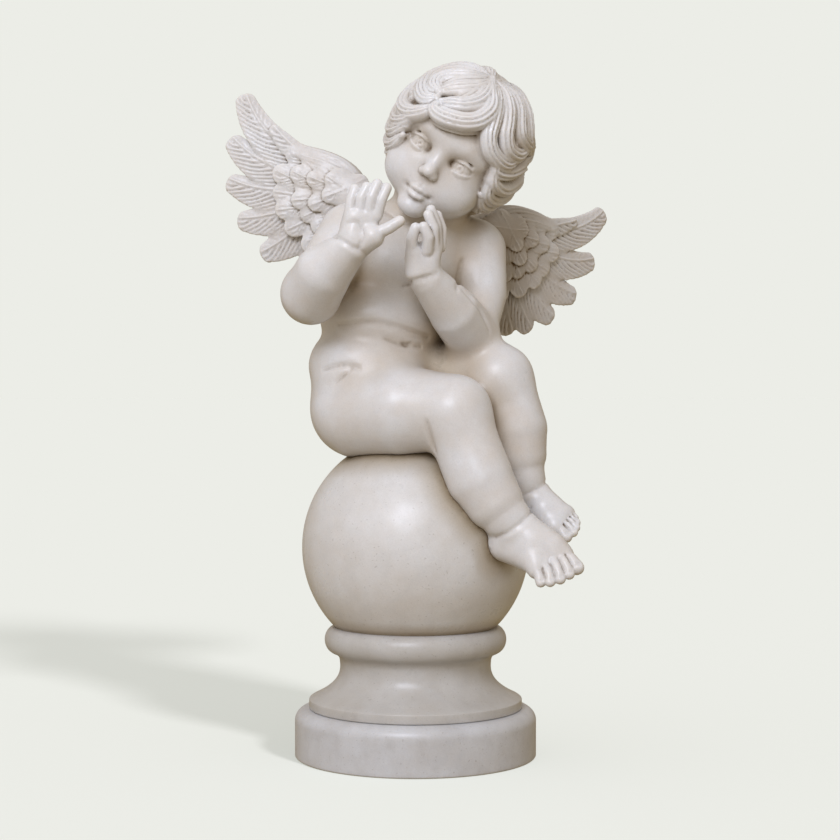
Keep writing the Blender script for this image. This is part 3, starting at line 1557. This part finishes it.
@dataclass
class Plinth(Turned):
    """A plain round block with a softened upper edge."""

    name: str = "round_plinth"
    radius: float = 140
    height: float = 56
    edge: float = 14
    foot_edge: float = 2.5

    def profile(self) -> np.ndarray:
        """Returns the side, the rounded edge and the top.

        Returns:
            The points, one (radius, height) per row.
        """
        r, h, e, f = self.radius, self.height, self.edge, self.foot_edge
        rows = [(0, 0), (r - f, 0)] + arc((r - f, f), (f, f), -90, 0, 5)[1:]
        rows += [(r, z) for z in np.linspace(6, h - e - 3, 9)]
        rows += arc((r - e, h - e), (e, e), 0, 90, 12)
        rows += [(x, h) for x in np.linspace(r - e - 8, 10, 12)] + [(0, h)]
        return np.array(rows)


@dataclass
class Socle(Turned):
    """A turned foot: one plain band, a hollow that sweeps up to a neck, and a roll that cups the ball."""

    name: str = "turned_socle"
    foot: float = 56.3
    band: Pair = (123.5, 11.3)
    band_edges: Pair = (1.5, 1.6)
    flare: Pair = (121.3, 68.4)
    sweep: float = 2.4
    neck: Pair = (87.5, 106)
    roll: Point = (105.5, 135.5, 15)
    roll_width: float = 12
    seat: Pair = (242.7, 131.8)

    def profile(self) -> np.ndarray:
        """Returns the outline from the foot up to the roll, and down into the ball's seat.

        Returns:
            The points, one (radius, height) per row.
        """
        foot, (band, band_height), (lower, upper) = self.foot, self.band, self.band_edges
        rows = [(0, foot), (band - lower, foot)]
        rows += arc((band - lower, foot + lower), (lower, lower), -90, 0, 4)[1:]
        rows += arc((band - upper, foot + band_height - upper), (upper, upper), 0, 75, 6)
        (fr, fz), (nr, nz) = self.flare, self.neck
        for t in np.linspace(0, 1, 22):
            rows.append((nr + (fr - nr) * (1 - t) ** self.sweep, fz + (nz - fz) * t))
        tr, tz, th = self.roll
        rows += [(nr + 0.4, nz + 5), (nr + 1.2, nz + 9), (nr + 4, nz + 12.5), (nr + 9, nz + 15)]
        rows += arc((tr - self.roll_width, tz), (self.roll_width, th), -68, 90, 22)
        level, reach = self.seat
        top = tz + th
        meet = math.sqrt(max(reach**2 - (level - top) ** 2, 0))
        start = math.degrees(math.atan2(top - level, meet))
        rows += arc((0, level), (reach, reach), start, -90, 26)[:-1] + [(0, level - reach)]
        return np.array(rows)


@dataclass
class Globe(Turned):
    """The polished ball that the figure sits on."""

    name: str = "stone_ball"
    radius: float = 131.5
    level: float = 242.7

    def profile(self) -> np.ndarray:
        """Returns half a circle."""
        rows = arc((0, self.level), (self.radius, self.radius), -90, 90, 97)
        return np.array([(0, self.level - self.radius)] + rows[1:-1] + [(0, self.level + self.radius)])


# ---- Finishes -----------------------------------------------------------------------------------


def paint(code: str) -> tuple[float, float, float, float]:
    """Returns an sRGB hex colour as linear values with full alpha.

    Args:
        code: Six hexadecimal digits.

    Returns:
        Red, green, blue and alpha, 0 to 1.
    """
    made = []
    for i in (0, 2, 4):
        c = int(code[i : i + 2], 16) / 255
        made.append(c / 12.92 if c <= 0.04045 else ((c + 0.055) / 1.055) ** 2.4)
    return (*made, 1.0)


def per_mm(size: float) -> float:
    """Returns the texture scale at which a pattern repeats about every size mm."""
    return 1.0 / (size * MM)


def add_node(
    tree: bpy.types.NodeTree, kind: str, inputs: dict | None = None, **settings: object
) -> bpy.types.Node:
    """Adds a node.

    Args:
        tree: The node tree that it joins.
        kind: The node's type name, without its prefix.
        inputs: A value or a socket to link, for each input by name or number.
        settings: Values for the node's own properties.

    Returns:
        The node.
    """
    made = tree.nodes.new("ShaderNode" + kind)
    for name, value in settings.items():
        setattr(made, name, value)
    for name, value in (inputs or {}).items():
        if isinstance(value, bpy.types.NodeSocket):
            tree.links.new(value, made.inputs[name])
        else:
            made.inputs[name].default_value = value
    return made


@dataclass(frozen=True)
class Marble:
    """Reconstituted marble: pale, fine-grained and lightly waxed, with brown dirt left in its hollows.

    The grain and the cloudy patches keep the surface from looking like plaster, the low sheen shows
    the roundness of the limbs, and the dirt draws every fold and valley.
    """

    name: str
    pale: str = "D9D8D7"
    warm: str = "D2CCC5"
    grey: str = "C9C7C5"
    dirt: str = "6B5638"
    glaze: str = "DCCDB4"
    weathered: str = "BDB4A6"
    rubbed: str = "E6E3DF"
    grain: float = 1.6  # real grains are some 0.3 mm and too fine to show
    fleck_size: float = 2.6
    pit: float = 3.4
    pit_depth: float = 0.9
    light_depth: float = 5  # how far light wanders below the surface
    ragged: float = 7
    spread: float = 30
    patch: float = 46
    greyness: float = 0.35
    staining: float = 1.0
    roughness: float = 0.33
    pitting: float = 0.08
    flecks: float = 0.26

    def make(self, hollows: bool) -> bpy.types.Material:
        """Makes the stone for one kind of piece.

        Args:
            hollows: Whether the piece carries the attributes that say how deep each point lies.

        Returns:
            The material.
        """
        made = bpy.data.materials.new(self.name)
        made.use_nodes = True
        tree = made.node_tree
        tree.nodes.clear()
        place = add_node(tree, "TexCoord").outputs["Object"]
        patches = add_node(
            tree,
            "TexNoise",
            {"Vector": place, "Scale": per_mm(self.patch), "Detail": 4.0, "Roughness": 0.55},
        )
        clouds = add_node(
            tree, "MapRange", {"Value": patches.outputs["Fac"], "From Min": 0.35, "From Max": 0.68}
        )
        base = add_node(
            tree, "Mix", {0: clouds.outputs[0], 6: paint(self.pale), 7: paint(self.warm)}, data_type="RGBA"
        )
        veins = add_node(
            tree,
            "TexNoise",
            {
                "Vector": place,
                "Scale": per_mm(self.patch * 0.55),
                "Detail": 6.0,
                "Roughness": 0.62,
                "Distortion": 0.7,
            },
        )
        veined = add_node(
            tree,
            "MapRange",
            {"Value": veins.outputs["Fac"], "From Min": 0.45, "From Max": 0.72, "To Max": self.greyness},
        )
        base = add_node(
            tree, "Mix", {0: veined.outputs[0], 6: base.outputs[2], 7: paint(self.grey)}, data_type="RGBA"
        )
        specks = add_node(
            tree,
            "TexNoise",
            {"Vector": place, "Scale": per_mm(self.grain), "Detail": 2.0, "Roughness": 0.7},
        )
        speckle = add_node(
            tree,
            "MapRange",
            {
                "Value": specks.outputs["Fac"],
                "From Min": 0.3,
                "From Max": 0.7,
                "To Min": 0.95,
                "To Max": 1.03,
            },
        )
        base = add_node(
            tree,
            "Mix",
            {0: 1.0, 6: base.outputs[2], 7: speckle.outputs[0]},
            data_type="RGBA",
            blend_type="MULTIPLY",
        )
        flecks = add_node(
            tree,
            "TexNoise",
            {"Vector": place, "Scale": per_mm(self.fleck_size), "Detail": 1.0, "Roughness": 0.5},
        )
        fleck = add_node(
            tree,
            "MapRange",
            {"Value": flecks.outputs["Fac"], "From Min": 0.69, "From Max": 0.75, "To Max": self.flecks},
        )
        base = add_node(
            tree, "Mix", {0: fleck.outputs[0], 6: base.outputs[2], 7: paint(self.dirt)}, data_type="RGBA"
        )
        dirty = self.stain if hollows else self.soil
        colour = dirty(tree, place, base.outputs[2])
        gloss = add_node(
            tree,
            "MapRange",
            {
                "Value": patches.outputs["Fac"],
                "From Min": 0.3,
                "From Max": 0.7,
                "To Min": self.roughness - 0.07,
                "To Max": self.roughness + 0.09,
            },
        )
        pits = add_node(
            tree, "TexNoise", {"Vector": place, "Scale": per_mm(self.pit), "Detail": 5.0, "Roughness": 0.65}
        )
        bump = add_node(
            tree,
            "Bump",
            {"Height": pits.outputs["Fac"], "Strength": self.pitting, "Distance": self.pit_depth * MM},
        )
        stone = add_node(
            tree,
            "BsdfPrincipled",
            {"Base Color": colour, "Roughness": gloss.outputs[0], "Normal": bump.outputs[0]},
        )
        stone.inputs["IOR"].default_value = 1.5  # marble dust in clear resin
        stone.inputs["Specular IOR Level"].default_value = 0.42
        stone.inputs["Subsurface Weight"].default_value = 0.12
        stone.inputs["Subsurface Radius"].default_value = (1.0, 0.8, 0.6)
        stone.inputs["Subsurface Scale"].default_value = self.light_depth * MM
        add_node(tree, "OutputMaterial", {"Surface": stone.outputs[0]})
        return made

    def stain(
        self, tree: bpy.types.NodeTree, place: bpy.types.NodeSocket, colour: bpy.types.NodeSocket
    ) -> bpy.types.NodeSocket:
        """Returns the colour with dirt in the grooves and hollows, and crests rubbed pale.

        Args:
            tree: The material's node tree.
            place: The socket with the places on the piece.
            colour: The socket with the colour so far.

        Returns:
            The socket with the new colour.
        """
        weather = add_node(tree, "Attribute", attribute_name="weather").outputs["Fac"]
        colour = add_node(
            tree,
            "Mix",
            {0: weather, 6: colour, 7: paint(self.weathered)},
            data_type="RGBA",
            blend_type="MULTIPLY",
        ).outputs[2]
        groove = add_node(tree, "Attribute", attribute_name="groove").outputs["Fac"]
        hollow = add_node(tree, "Attribute", attribute_name="hollow").outputs["Fac"]
        ragged = add_node(
            tree,
            "TexNoise",
            {"Vector": place, "Scale": per_mm(self.ragged), "Detail": 5.0, "Roughness": 0.7},
        )
        fine = add_node(tree, "MapRange", {"Value": groove, "From Min": 0.55, "From Max": 0.76})
        broad = add_node(
            tree, "MapRange", {"Value": hollow, "From Min": 0.55, "From Max": 0.82, "To Max": 0.85}
        )
        both = add_node(tree, "Math", {0: fine.outputs[0], 1: broad.outputs[0]}, operation="MAXIMUM")
        rough = add_node(
            tree,
            "MapRange",
            {
                "Value": ragged.outputs["Fac"],
                "From Min": 0.25,
                "From Max": 0.6,
                "To Min": 0.35 * self.staining,
                "To Max": self.staining,
            },
        )
        heavier = add_node(tree, "Math", {0: weather, 1: 2.0, 2: 1.0}, operation="MULTIPLY_ADD")
        rough = add_node(tree, "Math", {0: rough.outputs[0], 1: heavier.outputs[0]}, operation="MULTIPLY")
        amount = add_node(
            tree, "Math", {0: both.outputs[0], 1: rough.outputs[0]}, operation="MULTIPLY", use_clamp=True
        )
        stained = add_node(
            tree, "Mix", {0: amount.outputs[0], 6: colour, 7: paint(self.dirt)}, data_type="RGBA"
        )
        shelter = add_node(tree, "Attribute", attribute_name="shelter").outputs["Fac"]
        veil = add_node(
            tree, "MapRange", {"Value": shelter, "From Min": 0.40, "From Max": 0.72, "To Max": 0.9}
        )
        stained = add_node(
            tree,
            "Mix",
            {0: veil.outputs[0], 6: stained.outputs[2], 7: paint(self.glaze)},
            data_type="RGBA",
            blend_type="MULTIPLY",
        )
        crest = add_node(
            tree, "MapRange", {"Value": groove, "From Min": 0.47, "From Max": 0.30, "To Max": 0.55}
        )
        rubbed = add_node(
            tree,
            "Mix",
            {0: crest.outputs[0], 6: stained.outputs[2], 7: paint(self.rubbed)},
            data_type="RGBA",
        )
        return rubbed.outputs[2]

    def soil(
        self, tree: bpy.types.NodeTree, place: bpy.types.NodeSocket, colour: bpy.types.NodeSocket
    ) -> bpy.types.NodeSocket:
        """Returns the colour with faint brown stains where dirt has settled in patches.

        Args:
            tree: The material's node tree.
            place: The socket with the places on the piece.
            colour: The socket with the colour so far.

        Returns:
            The socket with the new colour.
        """
        spread = add_node(
            tree,
            "TexNoise",
            {
                "Vector": place,
                "Scale": per_mm(self.spread),
                "Detail": 7.0,
                "Roughness": 0.68,
                "Distortion": 0.4,
            },
        )
        amount = add_node(
            tree,
            "MapRange",
            {
                "Value": spread.outputs["Fac"],
                "From Min": 0.52,
                "From Max": 0.8,
                "To Max": 0.22 * self.staining,
            },
        )
        return add_node(
            tree, "Mix", {0: amount.outputs[0], 6: colour, 7: paint(self.dirt)}, data_type="RGBA"
        ).outputs[2]


# The figure: pale and waxed, so that its limbs shine softly and every fold is drawn in brown.
CARVED = Marble("carved_marble", flecks=0.08)
# The socle: darker and plainer, since it stands in the shade of the ball.
TURNED = Marble("turned_marble", pale="BFBCB7", warm="B7B2AA", grey="B0AEAB", staining=0.7, roughness=0.34)
# The ball: the smoothest, with one broad highlight, and tan where the figure shelters it.
BALL = Marble(
    "ball_marble", pale="D6D4D1", warm="CDC8C1", grey="C4C2BF", glaze="C4B394", staining=0.8, roughness=0.32
)
# The plinth: cooler and duller, since it stands lowest.
PLINTH = Marble("plinth_marble", pale="C8C8C9", warm="BEBCBA", grey="B2B2B3", staining=0.8, roughness=0.36)


# ---- The studio ---------------------------------------------------------------------------------


@dataclass
class Studio:
    """A pale floor and backdrop, soft lights and the camera, in metres and degrees."""

    backdrop: str = "ECEDE7"
    lens: float = 81.4
    height: float = 0.430
    back: float = 2.204
    aside: float = 0.0006
    sky: Point = (0.478, 0.416, 0.336)
    slope: Point = (0.262, 0.286, 0.342)
    bright_side: Point = (-0.15, -0.54, 0.828)
    darkest: Point = (0.02, 0.02, 0.02)
    paper: float = 0.4
    shade: float = 0.17
    shade_from: Point = (0.466, -0.743, 0.481)
    shade_softness: float = 8
    key_place: Point = (-0.65, -2.4, 1.95)
    key_aim: Point = (0, 0, 0.42)
    key_size: float = 1.2
    key_power: float = 55.0
    key_colour: str = "E8EEFF"
    floor_reach: float = 60.0
    dip: float = 1.05
    veer: float = 0.12

    def build(self, pieces: list[bpy.types.Object]) -> None:
        """Sets up the floor, the world, the lights on the pieces and the camera.

        Args:
            pieces: The pieces that the key light falls on.
        """
        scene = bpy.context.scene
        scene.view_settings.view_transform = "Standard"
        self.world(scene)
        floor = self.floor()
        lit = bpy.data.collections.new("lit_pieces")
        for piece in pieces:
            lit.objects.link(piece)
        shaded = bpy.data.collections.new("shaded_floor")
        shaded.objects.link(floor)
        self.key().light_linking.receiver_collection = lit
        self.sun().light_linking.receiver_collection = shaded
        self.camera()

    def world(self, scene: bpy.types.Scene) -> None:
        """Surrounds the figure with soft light, cool from above in front and warm from below.

        Args:
            scene: The scene that it lights.
        """
        world = bpy.data.worlds.new("pale_studio")
        scene.world = world
        world.use_nodes = True
        tree = world.node_tree
        tree.nodes.clear()
        toward = add_node(tree, "TexCoord").outputs["Generated"]
        share = add_node(tree, "VectorMath", {0: toward, 1: self.bright_side}, operation="DOT_PRODUCT")
        tone = add_node(
            tree,
            "VectorMath",
            {0: share.outputs["Value"], 1: self.slope, 2: self.sky},
            operation="MULTIPLY_ADD",
        )
        tone = add_node(tree, "VectorMath", {0: tone.outputs[0], 1: self.darkest}, operation="MAXIMUM")
        soft = add_node(tree, "Background", {"Color": tone.outputs[0]})
        plain = add_node(tree, "Background", {"Color": paint(self.backdrop)})
        seen = add_node(tree, "LightPath").outputs["Is Camera Ray"]
        both = add_node(tree, "MixShader", {0: seen, 1: soft.outputs[0], 2: plain.outputs[0]})
        add_node(tree, "OutputWorld", {"Surface": both.outputs[0]})

    def floor(self) -> bpy.types.Object:
        """Adds the floor, which is as pale as the backdrop and takes a faint shadow.

        Returns:
            The floor's object.
        """
        mesh = bpy.data.meshes.new("floor")
        r = self.floor_reach
        mesh.from_pydata([(-r, -r, 0), (r, -r, 0), (r, r, 0), (-r, r, 0)], [], [(0, 1, 2, 3)])
        made = bpy.data.objects.new("floor", mesh)
        bpy.context.scene.collection.objects.link(made)
        made.visible_diffuse = made.visible_glossy = False
        sheet = bpy.data.materials.new("pale_paper")
        sheet.use_nodes = True
        tree = sheet.node_tree
        tree.nodes.clear()
        above = [a + b * self.bright_side[2] * 2 / 3 for a, b in zip(self.sky, self.slope)]
        glow = [c - self.paper * up - self.shade for c, up in zip(paint(self.backdrop), above)]
        shine = add_node(tree, "Emission", {"Color": (*glow, 1), "Strength": 1.0})
        matt = add_node(tree, "BsdfDiffuse", {"Color": (self.paper, self.paper, self.paper, 1)})
        both = add_node(tree, "AddShader", {0: shine.outputs[0], 1: matt.outputs[0]})
        add_node(tree, "OutputMaterial", {"Surface": both.outputs[0]})
        mesh.materials.append(sheet)
        return made

    def key(self) -> bpy.types.Object:
        """Adds and returns a square soft light that faces the figure.

        Returns:
            The light's object.
        """
        light = bpy.data.lights.new("key", "AREA")
        light.shape, light.size, light.energy = "SQUARE", self.key_size, self.key_power
        light.color = paint(self.key_colour)[:3]
        made = bpy.data.objects.new("key", light)
        made.location = self.key_place
        facing = Vector(self.key_aim) - Vector(self.key_place)
        made.rotation_euler = facing.to_track_quat("-Z", "Y").to_euler()
        bpy.context.scene.collection.objects.link(made)
        return made

    def sun(self) -> bpy.types.Object:
        """Adds and returns the light that throws the figure's faint shadow on the floor.

        Returns:
            The light's object.
        """
        light = bpy.data.lights.new("floor_sun", "SUN")
        light.angle = math.radians(self.shade_softness)
        light.energy = self.shade * math.pi / (self.paper * self.shade_from[2])
        made = bpy.data.objects.new("floor_sun", light)
        made.rotation_euler = Vector(self.shade_from).to_track_quat("Z", "Y").to_euler()
        bpy.context.scene.collection.objects.link(made)
        return made

    def camera(self) -> None:
        """Adds the camera, level with the figure's waist."""
        data = bpy.data.cameras.new("camera")
        data.lens, data.sensor_width = self.lens, 36.0
        made = bpy.data.objects.new("camera", data)
        made.location = (self.aside, -self.back, self.height)
        made.rotation_euler = (math.radians(90 - self.dip), 0, math.radians(-self.veer))
        bpy.context.scene.collection.objects.link(made)
        bpy.context.scene.camera = made


def finish_piece(
    piece: bpy.types.Object, node: str, material: bpy.types.Material
) -> bpy.types.Object:
    """Dresses a piece, says which node and body it belongs to, and returns it.

    Args:
        piece: The object.
        node: The node that it replaces.
        material: Its finish.

    Returns:
        The same object.
    """
    piece.data.materials.clear()
    piece.data.materials.append(material)
    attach(piece, "root")
    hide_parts(node)
    LOG.info("%s: %d faces", piece.name, len(piece.data.polygons))
    return piece


def main() -> None:
    """Builds every piece in order, from the ground up."""
    logging.basicConfig(level=logging.INFO, format="%(name)s %(relativeCreated)d %(message)s")
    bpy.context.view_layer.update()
    turned = TURNED.make(hollows=False)
    pieces = [
        finish_piece(Plinth().build(), "plinth", PLINTH.make(hollows=False)),
        finish_piece(Socle().build(), "socle", turned),
    ]
    figure, clay, ball = Cherub(), Clay(), Globe().build()
    pieces.append(finish_piece(figure.build(clay), "cherub", CARVED.make(hollows=True)))
    figure.soil_below(ball, clay)
    pieces.append(finish_piece(ball, "ball", BALL.make(hollows=True)))
    Studio().build(pieces)


if __name__ == "__main__":
    main()
